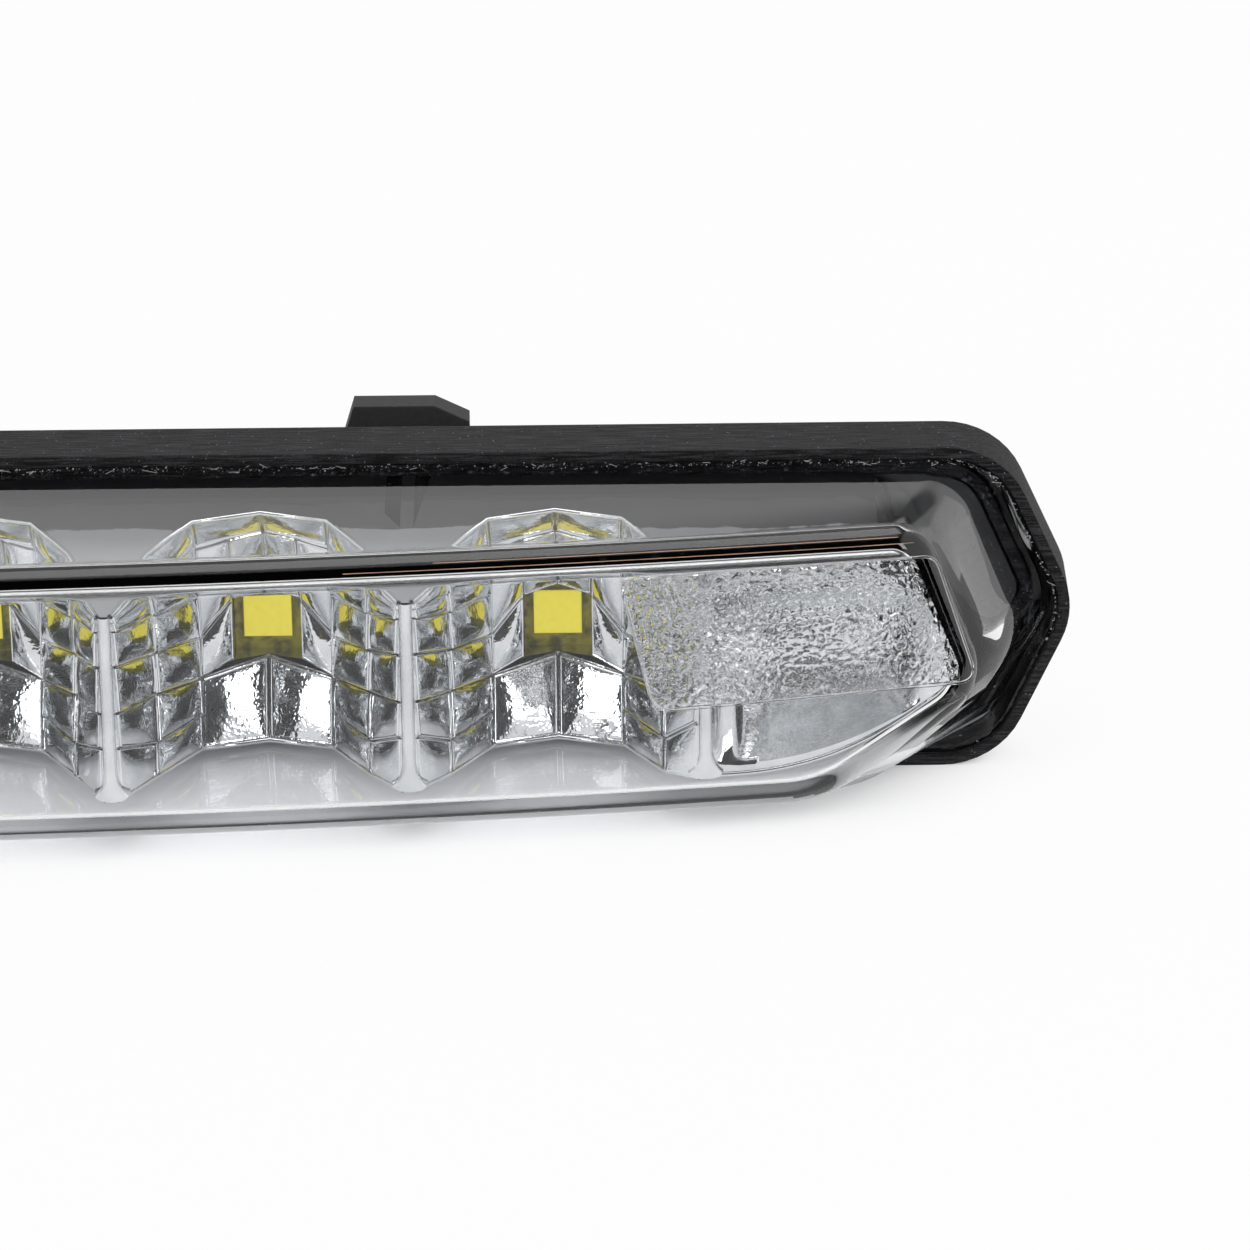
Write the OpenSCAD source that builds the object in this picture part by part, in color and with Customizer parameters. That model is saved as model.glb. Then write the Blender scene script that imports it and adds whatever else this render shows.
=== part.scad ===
/* [Housing] */
// Height of the aluminium rim
rim_h = 24; // [22:0.5:28]
// Depth of the rim, front to back
rim_depth = 4.7; // [4.2:0.1:6]
// How far the rim stands ahead of the light-emitting plane
rim_front = 2.1; // [1.6:0.1:2.6]
// Width of the rim's front edge beside the lens groove
rim_wall = 0.75; // [0.6:0.05:1.2]
// Width of the groove that takes the lens edge
groove_w = 2.55; // [2.4:0.05:3.2]
// Depth of the groove behind the light-emitting plane
groove_back = 1.5; // [1.3:0.1:1.8]
// Width of the land between the groove and the board pocket
land_w = 1; // [0.8:0.1:1.6]
// Step from the rim in to the rear body
body_step = 3; // [2.6:0.1:3.4]
// Thickness of the rear wall behind the board
rear_wall = 2.5; // [2:0.25:3.5]
// How far the fins stand out behind the rear wall
fin_h = 6.5; // [5:0.5:9]
// Thickness of a fin
fin_t = 1.4; // [1:0.1:1.8]
// Distance between fins
fin_pitch = 3.2; // [3:0.1:3.4]
// Length of the fins
fin_len = 168; // [150:1:172]

/* [Light row] */
// Number of light-emitting diodes
led_count = 8; // [8:2:8]
// Distance between neighbouring diodes
led_pitch = 20; // [19.8:0.1:20.4]
// Side of the square diode package
led_side = 3.5; // [3:0.1:3.8]
// Thickness of the diode package under its phosphor
led_t = 0.75; // [0.6:0.05:0.9]
// Thickness of the phosphor plate
phosphor_t = 0.15; // [0.1:0.05:0.25]
// Border of the package around the phosphor
phosphor_border = 0.1; // [0.05:0.05:0.3]
// How far the diode row lies below the middle of the lamp
led_drop = 0.6; // [0:0.1:0.8]

/* [Lens] */
// Wall thickness of the clear lens
lens_wall = 1.6; // [1.4:0.1:1.9]
// How far the lens front's long edges lie inside the rim's edges
lens_inset = 1.85; // [1.6:0.05:2.1]
// How far the lens front stands ahead of the diodes in the middle
lens_front = 18.1; // [17.6:0.1:20]
// Radius of the lens front in plan
lens_sweep_r = 700; // [640:10:900]
// Rounding of the lens's front edges
lens_round = 1.9; // [1.7:0.1:2.4]
// Glue space beside the lens edge
glue_gap = 0.35; // [0.3:0.05:0.45]
// How far the lens edge stops short of the groove's floor
glue_bed = 0.4; // [0.3:0.1:0.6]

/* [Reflector] */
// Clearance between the ridges and the inside of the lens
ridge_gap = 0.5; // [0.4:0.1:1]
// Space between the reflector's back edge and the lens below it
refl_gap = 0.2; // [0.15:0.05:0.5]
// How much the reflector narrows for each millimetre forward
refl_draft = 0.115; // [0.1:0.005:0.15]
// Width of the flat strip along a ridge
ridge_w = 0.9; // [0.7:0.1:1.4]
// Depth of wall behind a slanted facet
refl_wall = 3.2; // [2.6:0.1:3.6]
// Depth of a bowl's rim at the middle of a cell
bowl_rim = 4.4; // [3.8:0.1:5]
// Half width of the hole around a diode
hole_half = 2.35; // [2.1:0.05:2.6]
// How far that hole reaches below the diode's centre
hole_down = 2.95; // [2.5:0.05:3.2]
// How far that hole reaches above the diode's centre
hole_up = 2.1; // [1.95:0.05:2.4]
// Width of the bezel around the end trough
bezel_w = 1.3; // [1:0.1:1.8]

/* [Board] */
// Thickness of the metal-core board
board_t = 1.6; // [1:0.1:1.6]
// Thickness of the heat pad behind the board
pad_t = 0.5; // [0.3:0.1:0.8]
// Space between the board's edge and its pocket
board_gap = 0.3; // [0.2:0.1:0.4]
// Distance of the outer board screws from the middle
board_screw_x = 90; // [88:1:92]

/* [Brackets] */
// Distance of each bracket from the middle of the lamp
bracket_x = 59.4; // [58:0.1:61]
// Thickness of the bracket steel
bracket_t = 2; // [1.5:0.25:2.5]
// Width of the bracket's foot
bracket_w = 14; // [12:0.5:16]
// Width of the bracket's narrow top
bracket_top_w = 9; // [8:0.5:10]
// Length of the foot behind the upright
bracket_foot = 17; // [15:0.5:20]
// Height of the bracket's top above the middle of the lamp
bracket_top = 9.5; // [9:0.1:10]
// Distance from the upright's back to the foot hole
foot_hole_y = 10; // [9:0.5:11]
// Radius of the foot hole
foot_hole_r = 2.75; // [2:0.05:3.2]
// Outer radius of the bracket's bend
bend_r = 3; // [2.75:0.25:4]

/* [Inlets] */
// Radius of the cable bore in the grommet
cable_r = 2; // [1.5:0.1:2.4]
// Radius of the housing hole that holds the grommet
grommet_hole_r = 3.4; // [3.2:0.1:3.8]
// Distance of the vent plug from the middle of the lamp
vent_x = 30; // [26:1:34]
// Radius of the housing hole that holds the vent plug
vent_hole_r = 1.5; // [1.2:0.1:1.8]

/* [Hidden] */

$fn = 64;
eps = 0.01;
// clearance between pieces that are slipped together
slip = 0.1;

// Straight and pointed parts of the end outline, beyond the last diode
end_straight = 26.6;
end_point = 29.3;
core_half = rim_h / 4;
row_half = (led_count - 1) / 2 * led_pitch;
corner_x = row_half + end_straight;
point_x = row_half + end_point;
rim_r = rim_h / 2 - core_half;

// Depths behind the plane of the phosphor, positive to the back
board_front = phosphor_t + led_t;
board_back = board_front + board_t;
floor_y = board_back + pad_t;
wall_back = floor_y + rear_wall;
fin_back = wall_back + fin_h;
rim_back = rim_depth - rim_front;
land_front = board_front - 0.3;
refl_back = land_front - slip;
lens_edge = groove_back - glue_bed;

groove_r = rim_r - rim_wall;
lens_r = groove_r - glue_gap;
land_r = groove_r - groove_w;
pocket_r = land_r - land_w;
body_r = rim_r - body_step;
board_r = pocket_r - board_gap;

upright_y = fin_back;
foot_y = upright_y + bracket_t + foot_hole_y;
half_h = rim_h / 2;
lens_front_h = rim_h - 2 * lens_inset;
refl_half = core_half + lens_r - lens_wall - led_drop - refl_gap;

// Place of the inner board screws as a share of the outer ones: between two diodes
screw_share = 2 * led_pitch / board_screw_x;

boss_w = 12;
boss_h = 2 * (2 * fin_pitch + fin_t / 2);
thread_r = 1.7;
thread_deep = 5;
fin_bay_r = 7.5;

// Angle of the outward normal where two corner circles share a tangent, going clockwise
function side_angle(a, b) =
    let (
        dx = b[0] - a[0],
        dz = b[1] - a[1],
        turn = atan2(dz, dx) + acos((a[2] - b[2]) / sqrt(dx * dx + dz * dz))
    )
    turn > 180 ? turn - 360 : turn;

// Points of one rounded corner, as centre x, centre z and radius, from angle a0 to a1
function arc_points(c, a0, a1, steps) =
    [for (k = [0:steps]) let (a = a0 + (a1 - a0) * k / steps) [c[0] + c[2] * cos(a), c[1] + c[2] * sin(a)]];

// Pointed box with its sides moved out by r, its corners rounded in a number of steps
module end_outline(r, steps = 8) {
    turn = side_angle([corner_x, core_half, r], [point_x, 0, r]);
    half = concat(
        arc_points([corner_x, core_half, r], 90, turn, steps),
        arc_points([point_x, 0, r], turn, -turn, steps),
        arc_points([corner_x, -core_half, r], -turn, -90, steps)
    );
    polygon(concat(half, [for (i = [len(half) - 1:-1:0]) [-half[i][0], half[i][1]]]));
}

// Extrudes an XZ outline from depth y0 back to depth y1
module slab(y0, y1) {
    translate([0, y1, 0]) rotate([90, 0, 0]) linear_extrude(y1 - y0) children();
}

// Moves the lamp from its light-row frame to the frame of its fixing plane
module seat() {
    translate([0, -foot_y, half_h]) children();
}

// Cylinder whose axis runs front to back from depth y0 to y1
module bar(x, z, r, y0, y1) {
    translate([x, y1, z]) rotate([90, 0, 0]) cylinder(r = r, h = y1 - y0);
}

module housing() {
    color([0.15, 0.15, 0.16]) seat() difference() {
        union() {
            slab(-rim_front, rim_back) end_outline(rim_r);
            slab(rim_back - eps, wall_back) end_outline(body_r);
            intersection() {
                union() {
                    for (k = [-2:2])
                        translate([-fin_len / 2, wall_back - eps, k * fin_pitch - fin_t / 2])
                            cube([fin_len, fin_h + eps, fin_t]);
                }
                slab(wall_back - 1, fin_back) end_outline(body_r);
            }
            for (s = [-1, 1])
                translate([s * bracket_x - boss_w / 2, wall_back - eps, -boss_h / 2])
                    cube([boss_w, fin_h + eps, boss_h]);
        }
        slab(-rim_front - 1, land_front) end_outline(land_r);
        slab(-rim_front - 1, groove_back) difference() {
            end_outline(groove_r);
            end_outline(land_r);
        }
        slab(0, floor_y) end_outline(pocket_r);
        bar(0, 0, fin_bay_r, wall_back, fin_back + 1);
        bar(vent_x, 0, fin_bay_r / 2, wall_back, fin_back + 1);
        bar(0, 0, grommet_hole_r, floor_y - 1, fin_back);
        bar(vent_x, 0, vent_hole_r, floor_y - 1, fin_back);
        for (s = [-1, 1])
            bar(s * bracket_x, 0, thread_r, fin_back - thread_deep, fin_back + 1);
        for (s = [-1, 1], q = [screw_share, 1])
            bar(s * board_screw_x * q, -led_drop, board_screw_r, floor_y - 1, floor_y + board_screw_deep);
    }
}

// Corner circles of the lens, as x, z and radius: from the square flange to the swept front
lens_top_round = lens_front_h * 0.1675;
lens_tip_round = lens_front_h * 0.2217;
lens_low_round = lens_front_h * 0.468;
lens_top_in = 4.2;
lens_tip_in = 5.2;
lens_low_in = 11.3;
tip_low = lens_front_h * 0.0443;

function mix(a, b, u) = a + (b - a) * u;
function flange_corners(r) = [[corner_x, core_half, r], [point_x, 0, r], [corner_x, -core_half, r]];
function front_corners(d) = [
    [corner_x - lens_top_in, lens_front_h / 2 - lens_top_round, lens_top_round - d],
    [point_x - lens_tip_in, -tip_low, lens_tip_round - d],
    [corner_x - lens_low_in, lens_low_round - lens_front_h / 2, lens_low_round - d]
];
function corners_at(u, d) =
    let (a = flange_corners(lens_r - d), b = front_corners(d))
    [for (i = [0:2]) [for (k = [0:2]) mix(a[i][k], b[i][k], u)]];

// How far the lens front stands ahead of the diodes at x
function sweep(x) = lens_front - lens_sweep_r + sqrt(lens_sweep_r * lens_sweep_r - x * x);

straight_steps = 9;
corner_steps = 6;

// Right half of a ring, from the top middle round to the bottom middle
function half_ring(c) =
    let (a1 = side_angle(c[0], c[1]), a2 = side_angle(c[1], c[2]), top = c[0][1] + c[0][2], low = c[2][1] - c[2][2])
    concat(
        [for (k = [0:straight_steps - 1]) [c[0][0] * k / straight_steps, top]],
        arc_points(c[0], 90, a1, corner_steps),
        arc_points(c[1], a1, a2, corner_steps),
        arc_points(c[2], a2, -90, corner_steps),
        [for (k = [straight_steps - 1:-1:0]) [c[2][0] * k / straight_steps, low]]
    );

// A whole ring without doubled points on the middle plane, in three dimensions
function ring(u, d, set_back, wall) =
    let (
        h = half_ring(corners_at(u, d + wall)),
        n = len(h),
        all = concat(h, [for (i = [n - 2:-1:1]) [-h[i][0], h[i][1]]])
    )
    [for (p = all) [p[0], -mix(-lens_edge, sweep(p[0]) - wall - set_back, u), p[1]]];

round_steps = 5;
// Stations from the glued edge forward: share of the way, inward step and set-back from the front
function stations(r) = concat(
    [[0, 0, 0], [0.14, 0, 0], [0.5, 0, 0]],
    [for (k = [0:round_steps]) let (a = 90 * k / round_steps) [1, r * (1 - cos(a)), r * (1 - sin(a))]]
);
function lens_rings(wall) =
    let (r = lens_round - wall * 0.75)
    [for (s = stations(r)) ring(s[0], s[1], s[2], wall)];

function flat_list(v) = [for (a = v) for (b = a) b];

module lens_cover() {
    outer = lens_rings(0);
    inner = lens_rings(lens_wall);
    n = len(outer[0]);
    rows = len(outer);
    half = n / 2;
    start = rows * n;
    last = (rows - 1) * n;
    walls = [for (j = [0:rows - 2], i = [0:n - 1])
        let (a = j * n + i, b = j * n + (i + 1) % n) [a, b, b + n, a + n]];
    edge = [for (i = [0:n - 1]) let (j = (i + 1) % n) [i, start + i, start + j, j]];
    right = [for (i = [0:half / 2 - 1]) [last + i, last + i + 1, last + half - i - 1, last + half - i]];
    left = [for (i = [0:half / 2 - 1])
        [last + (n - i) % n, last + half + i, last + half + i + 1, last + n - i - 1]];
    skin = concat(walls, right, left);
    back = [for (f = skin) [for (k = [len(f) - 1:-1:0]) f[k] + start]];
    tri = [for (f = concat(skin, edge, back)) each [[f[0], f[1], f[2]], [f[0], f[2], f[3]]]];
    good = [for (f = tri) if (f[0] != f[1] && f[1] != f[2] && f[0] != f[2]) f];
    color([0.85, 0.9, 0.95, 0.35]) seat() polyhedron(points = flat_list(concat(outer, inner)), faces = good);
}

module lens_sealant() {
    color([0.06, 0.06, 0.06]) seat() {
        slab(lens_edge + slip / 2, groove_back) difference() {
            end_outline(groove_r);
            end_outline(land_r);
        }
        slab(-rim_front + 0.5, lens_edge + slip / 2) difference() {
            end_outline(groove_r);
            end_outline(lens_r + slip / 2);
        }
    }
}

// The reflector as a height field: each column has a place across the lamp, heights and depths
ridge_front = lens_front - lens_wall - ridge_gap;
in_half = 4.6;
out_half = 7.4;
// Rows of each kind of column as shares of the half height: beside the diode, inner, outer and on the ridge
hole_low_v = -hole_down / refl_half;
rows_mid = [-1, -0.68, hole_low_v, hole_up / refl_half, 0.45, 0.68, 1];
rows_in = [-1, -0.74, -0.45, -0.1, 0.34, 0.66, 1];
rows_out = [-1, -0.75, -0.33, 0.08, 0.5, 0.74, 1];
rows_ridge = [-1, -0.42, -0.05, 0.46, 0.84, 0.93, 1];
rows_end = [-1, -0.88, -0.5, 0, 0.5, 0.88, 1];
share_end = [1, 1, 0.35, 0, 0.35, 1, 1];
// Depths of the same columns: in the middle, and how much deeper their lower and upper ends are
rise_mid = [1, 3, bowl_rim];
rise_in = [2, 2.7, bowl_rim * 0.82];
rise_out = [7.2, 3, bowl_rim * 0.55];
end_floor = 4.5;

function cell_x(k) = (k - (led_count - 1) / 2) * led_pitch;
function ridge_depth(x) = ridge_front - lens_sweep_r + sqrt(lens_sweep_r * lens_sweep_r - x * x);

half_cell = led_pitch / 2 - ridge_w / 2;
// Columns of one cell from its left ridge to its right ridge
cell_cols = [-half_cell, -out_half, -in_half, -hole_half, 0, hole_half, in_half, out_half, half_cell];
last_ridge = row_half + led_pitch / 2;
trough_len = 15.1;
// Columns of the end trough: distance past the last ridge and share of the way up to the bezel
end_cols = [[ridge_w / 2, 1], [2.2, 0.35], [4.6, 0], [10, 0.05], [13.2, 0.35], [trough_len, 1], [trough_len + bezel_w, 1]];

// Half height of the reflector at a depth ahead of the diodes
function refl_h(d) = refl_half - refl_draft * max(d, 0);

function cell_rows(ax) = ax > out_half + eps ? rows_ridge : ax > in_half + eps ? rows_out
    : ax > hole_half + eps ? rows_in : rows_mid;
function cell_rise(ax, x) = ax > out_half + eps ? [ridge_depth(x), 0, 0] : ax > in_half + eps ? rise_out
    : ax > hole_half + eps ? rise_in : ax > eps ? rise_mid : [0, rise_mid[1], rise_mid[2]];
// The sheet bows forward to its upper and lower ends; below a diode it is flat
function cell_depth(r, v, ax) = v < hole_low_v && ax <= hole_half + eps
    ? r[0] + r[1] * mix(hole_low_v * hole_low_v, 1, (hole_low_v - v) / (hole_low_v + 1))
    : r[0] + r[v < 0 ? 1 : 2] * v * v;

// One column of the field: x, depth and height for each row, and the height at its back
function cell_column(k, ox) =
    let (x = cell_x(k) + ox, ax = abs(ox), r = cell_rise(ax, x))
    [for (v = cell_rows(ax))
        let (d = cell_depth(r, v, ax), h = refl_h(cell_depth(r, sign(v), ax)))
        [x, d, v * h, abs(v) == 1 ? v * refl_half : v * h]];

// The end section's edges close in towards the tip as the lens does
end_span = trough_len + bezel_w;
function end_low(t) = t < 1.5 ? 0 : 0.67 * refl_half * pow((t - 1.5) / (end_span - 1.5), 2.15);
function end_high(t) = t < 9 ? 0 : 0.755 * refl_half * pow((t - 9) / (end_span - 9), 3);
function end_column(s, c) =
    let (
        x = last_ridge + c[0],
        top = ridge_depth(x) - 0.3,
        h = refl_h(top)
    )
    [for (i = [0:len(rows_end) - 1])
        let (
            v = rows_end[i],
            d = mix(end_floor, top, 1 - (1 - c[1]) * (1 - share_end[i])),
            drop = v < 0 ? end_low(c[0]) : end_high(c[0]),
            z = v * (h - drop)
        )
        [s * x, d, z, abs(v) == 1 ? v * (refl_half - drop) : z]];

function field() = concat(
    [for (i = [len(end_cols) - 1:-1:0]) end_column(-1, end_cols[i])],
    [for (k = [0:led_count - 1]) for (ox = cell_cols) cell_column(k, ox)],
    [for (c = end_cols) end_column(1, c)]
);

function back_depth(p, j) = j == 0 || j == len(rows_mid) - 1 ? -refl_back : max(-refl_back, p[1] - refl_wall);

module reflector() {
    f = field();
    nx = len(f);
    nz = len(rows_mid);
    n_end = len(end_cols);
    per = len(cell_cols);
    total = nx * nz;
    front = [for (c = f) for (p = c) [p[0], -p[1], p[2]]];
    rear = [for (c = f) for (j = [0:nz - 1]) [c[j][0], -back_depth(c[j], j), c[j][3]]];
    // the two columns and one row around each diode are left open
    function open_at(i, j) =
        i >= n_end && i < n_end + per * led_count
        && ((i - n_end) % per == 3 || (i - n_end) % per == 4)
        && j == 2;
    function shut(i, j) = i >= 0 && j >= 0 && i < nx - 1 && j < nz - 1 && !open_at(i, j);
    function at(i, j) = i * nz + j;
    cells = [for (i = [0:nx - 2], j = [0:nz - 2]) if (shut(i, j)) [i, j]];
    quads = concat(
        [for (c = cells) let (i = c[0], j = c[1]) [at(i, j), at(i, j + 1), at(i + 1, j + 1), at(i + 1, j)]],
        [for (c = cells) let (i = c[0], j = c[1])
            [total + at(i, j), total + at(i + 1, j), total + at(i + 1, j + 1), total + at(i, j + 1)]],
        [for (c = cells) let (i = c[0], j = c[1]) if (!shut(i - 1, j))
            [at(i, j), total + at(i, j), total + at(i, j + 1), at(i, j + 1)]],
        [for (c = cells) let (i = c[0], j = c[1]) if (!shut(i + 1, j))
            [at(i + 1, j), at(i + 1, j + 1), total + at(i + 1, j + 1), total + at(i + 1, j)]],
        [for (c = cells) let (i = c[0], j = c[1]) if (!shut(i, j - 1))
            [at(i, j), at(i + 1, j), total + at(i + 1, j), total + at(i, j)]],
        [for (c = cells) let (i = c[0], j = c[1]) if (!shut(i, j + 1))
            [at(i, j + 1), total + at(i, j + 1), total + at(i + 1, j + 1), at(i + 1, j + 1)]]
    );
    tri = [for (q = quads) each [[q[0], q[1], q[2]], [q[0], q[2], q[3]]]];
    color([0.8, 0.81, 0.83]) seat() translate([0, 0, -led_drop])
        polyhedron(points = concat(front, rear), faces = tri);
}

board_screw_r = 1;
board_screw_deep = 2;
screw_head_r = 1.9;
screw_head_t = 0.25;

module led_board() {
    color([0.9, 0.91, 0.9]) seat() difference() {
        slab(board_front, board_back) end_outline(board_r, steps = 2);
        for (s = [-1, 1], q = [screw_share, 1])
            bar(s * board_screw_x * q, -led_drop, board_screw_r + slip, board_front - 1, board_back + 1);
    }
}

module thermal_pad() {
    color([0.55, 0.6, 0.68]) seat() difference() {
        slab(board_back, floor_y) end_outline(board_r, steps = 2);
        for (s = [-1, 1], q = [screw_share, 1])
            bar(s * board_screw_x * q, -led_drop, board_screw_r + slip, board_back - 1, floor_y + 1);
        bar(0, 0, grommet_hole_r + 1.2, board_back - 1, floor_y + 1);
        bar(vent_x, 0, vent_hole_r + 0.8, board_back - 1, floor_y + 1);
    }
}

// Width, height and thickness of the small parts on the board
ic_size = [3, 4, 1.2];
diode_size = [2.4, 4, 1.1];
capacitor_size = [2.4, 3.2, 1.4];
resistor_size = [1.6, 3.2, 0.6];

// Flat block on the board's front, centred at x on the diode row
module chip(x, w, h, t) {
    translate([x - w / 2, board_front - t, -led_drop - h / 2]) cube([w, t, h]);
}

module led(i) {
    color([0.93, 0.93, 0.9]) seat() chip(cell_x(i - 1), led_side, led_side, led_t);
}

module phosphor(i) {
    side = led_side - 2 * phosphor_border;
    color([0.92, 0.85, 0.25]) seat()
        translate([cell_x(i - 1) - side / 2, 0, -led_drop - side / 2]) cube([side, phosphor_t, side]);
}

module driver_ic() {
    color([0.1, 0.1, 0.1]) seat() chip(0, ic_size[0], ic_size[1], ic_size[2]);
}

module protection_diode() {
    color([0.12, 0.12, 0.12]) seat() chip(led_pitch, diode_size[0], diode_size[1], diode_size[2]);
}

module input_capacitor() {
    color([0.6, 0.5, 0.38]) seat() chip(-led_pitch, capacitor_size[0], capacitor_size[1], capacitor_size[2]);
}

module current_resistors() {
    color([0.15, 0.15, 0.15]) seat()
        for (s = [-1, 1], q = [3, 4])
            chip(s * q * led_pitch, resistor_size[0], resistor_size[1], resistor_size[2]);
}

// Screw with a flat round head, along the depth: head front at y0, thread down to y1
module screw(x, z, head_r, head_t, shank_r, y0, y1) {
    bar(x, z, head_r, y0, y0 + head_t);
    bar(x, z, shank_r, y0 + head_t - eps, y1);
}

module board_screws() {
    color([0.7, 0.7, 0.72]) seat()
        for (s = [-1, 1], q = [screw_share, 1])
            screw(s * board_screw_x * q, -led_drop, screw_head_r, screw_head_t, board_screw_r - slip / 2,
                board_front - screw_head_t, floor_y + board_screw_deep - slip);
}

grommet_lip = 1.2;
lip_t = 1;
grommet_tail = 4;

module cable_grommet() {
    hole = grommet_hole_r - slip / 2;
    lip = grommet_hole_r + grommet_lip;
    color([0.05, 0.05, 0.05]) seat() translate([0, floor_y, 0]) rotate([-90, 0, 0])
        rotate_extrude()
            polygon([
                [cable_r, 0], [hole, 0], [hole, rear_wall + slip / 2], [lip, rear_wall + slip / 2],
                [lip, rear_wall + lip_t], [hole, rear_wall + lip_t + 0.6],
                [cable_r + 0.8, rear_wall + grommet_tail], [cable_r, rear_wall + grommet_tail]
            ]);
}

module vent_plug() {
    color([0.2, 0.2, 0.21]) seat() {
        bar(vent_x, 0, vent_hole_r - slip / 2, floor_y, wall_back + 2 * slip);
        bar(vent_x, 0, vent_hole_r + 0.8, wall_back + slip / 2, wall_back + 1.2);
    }
}

washer_t = 0.8;
washer_r = 4.2;
m4_r = 2.25;
head_r = 3.7;
head_t = 2.6;
drive_r = 1.3;
drive_deep = 1.5;
chamfer_run = 2.4;
chamfer_drop = 1.2;
narrow_z = 5.5;
wide_z = 1;

// Side profile of a bent strip: an upright and a foot joined by a round bend
module bend_profile() {
    union() {
        translate([0, bend_r]) square([bracket_t, half_h + bracket_top - bend_r]);
        translate([bend_r, 0]) square([bracket_foot + bracket_t - bend_r, bracket_t]);
        intersection() {
            translate([bend_r, bend_r]) difference() {
                circle(bend_r);
                circle(bend_r - bracket_t);
            }
            square(bend_r);
        }
    }
}

// Front view of the bracket: a wide foot that narrows to the top, one corner cut
module bracket_front() {
    w = bracket_w / 2;
    n = bracket_top_w / 2;
    polygon([
        [-w, -half_h - 1], [w, -half_h - 1], [w, wide_z], [n, narrow_z], [n, bracket_top - chamfer_drop],
        [n - chamfer_run, bracket_top], [-n + 0.9, bracket_top], [-n, narrow_z + 1], [-w, wide_z]
    ]);
}

module bracket() {
    color([0.2, 0.2, 0.21]) difference() {
        intersection() {
            translate([-bracket_w / 2, upright_y, -half_h]) rotate([90, 0, 90])
                linear_extrude(bracket_w) bend_profile();
            slab(upright_y - 1, upright_y + bracket_t + bracket_foot + 1) bracket_front();
        }
        bar(0, 0, m4_r, upright_y - 1, upright_y + bracket_t + 1);
        translate([0, foot_y, -half_h - 1]) cylinder(r = foot_hole_r, h = bracket_t + 2);
    }
}

module bracket_right() {
    seat() translate([bracket_x, 0, 0]) bracket();
}

module bracket_left() {
    seat() mirror([1, 0, 0]) translate([bracket_x, 0, 0]) bracket();
}

module bracket_washers() {
    color([0.62, 0.62, 0.64]) seat()
        for (s = [-1, 1])
            difference() {
                bar(s * bracket_x, 0, washer_r, upright_y + bracket_t, upright_y + bracket_t + washer_t);
                bar(s * bracket_x, 0, m4_r, upright_y, upright_y + bracket_t + washer_t + 1);
            }
}

module bracket_screws() {
    y0 = fin_back - thread_deep + slip;
    y1 = upright_y + bracket_t + washer_t;
    color([0.7, 0.7, 0.72]) seat()
        for (s = [-1, 1])
            difference() {
                union() {
                    bar(s * bracket_x, 0, thread_r - slip / 2, y0, y1 + eps);
                    bar(s * bracket_x, 0, head_r, y1, y1 + head_t);
                }
                translate([s * bracket_x, y1 + head_t + 1, 0]) rotate([90, 0, 0])
                    cylinder(r = drive_r, h = drive_deep + 1, $fn = 6);
            }
}

housing();
lens_cover();
lens_sealant();
reflector();
led_board();
thermal_pad();
for (i = [1:led_count]) led(i);
for (i = [1:led_count]) phosphor(i);
driver_ic();
protection_diode();
input_capacitor();
current_resistors();
cable_grommet();
vent_plug();
board_screws();
bracket_left();
bracket_right();
bracket_screws();
bracket_washers();
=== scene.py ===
import math
import random

import bmesh
import bpy
from mathutils import Euler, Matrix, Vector


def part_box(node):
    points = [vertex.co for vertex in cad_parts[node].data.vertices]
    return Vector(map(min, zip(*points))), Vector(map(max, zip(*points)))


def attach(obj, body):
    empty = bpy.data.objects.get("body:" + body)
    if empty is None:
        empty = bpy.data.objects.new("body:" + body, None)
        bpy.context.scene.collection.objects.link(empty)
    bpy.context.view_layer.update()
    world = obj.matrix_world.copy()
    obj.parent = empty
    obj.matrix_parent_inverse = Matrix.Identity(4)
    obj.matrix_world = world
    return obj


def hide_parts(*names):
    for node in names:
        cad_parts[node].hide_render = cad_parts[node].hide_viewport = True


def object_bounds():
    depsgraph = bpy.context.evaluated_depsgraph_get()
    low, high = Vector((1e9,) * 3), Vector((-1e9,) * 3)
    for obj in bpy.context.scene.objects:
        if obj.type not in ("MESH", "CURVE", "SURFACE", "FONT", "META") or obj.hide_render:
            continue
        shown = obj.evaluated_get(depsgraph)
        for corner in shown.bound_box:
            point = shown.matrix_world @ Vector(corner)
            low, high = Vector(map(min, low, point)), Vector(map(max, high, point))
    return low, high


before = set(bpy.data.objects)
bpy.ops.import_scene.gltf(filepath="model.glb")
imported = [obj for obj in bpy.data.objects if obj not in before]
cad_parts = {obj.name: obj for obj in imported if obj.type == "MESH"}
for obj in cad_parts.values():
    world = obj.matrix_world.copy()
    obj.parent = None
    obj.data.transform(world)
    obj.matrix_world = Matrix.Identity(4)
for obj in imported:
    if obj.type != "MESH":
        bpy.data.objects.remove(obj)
cadBounds = [list(map(float, corner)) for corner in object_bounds()]

# The lamp in millimetres. x runs along it, z is up from its middle height, and depth is measured forward
# from the front of the diodes, so a point with depth d lies at y = ledPlane - d.
lamp = {
    "ledCount": 8,
    "ledPitch": 20.0,
    "ledDrop": 0.6,  # the diode row sits this far below the middle
    "cornerX": 96.6,  # where the straight edges of the end outline stop
    "pointX": 99.3,  # the centre of the rounded tip
    "coreHalf": 6.0,
    "sweepRadius": 700.0,
    "lensFront": 18.1,
}
mm = 0.001
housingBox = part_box("housing")
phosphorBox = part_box("phosphor_1")
ledPlane = phosphorBox[0][1]
midHeight = (housingBox[0][2] + housingBox[1][2]) / 2


def toWorld(x, depth, z):
    return Vector((x * mm, ledPlane - depth * mm, midHeight + z * mm))


# Small helpers for colours, nodes and meshes

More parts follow.
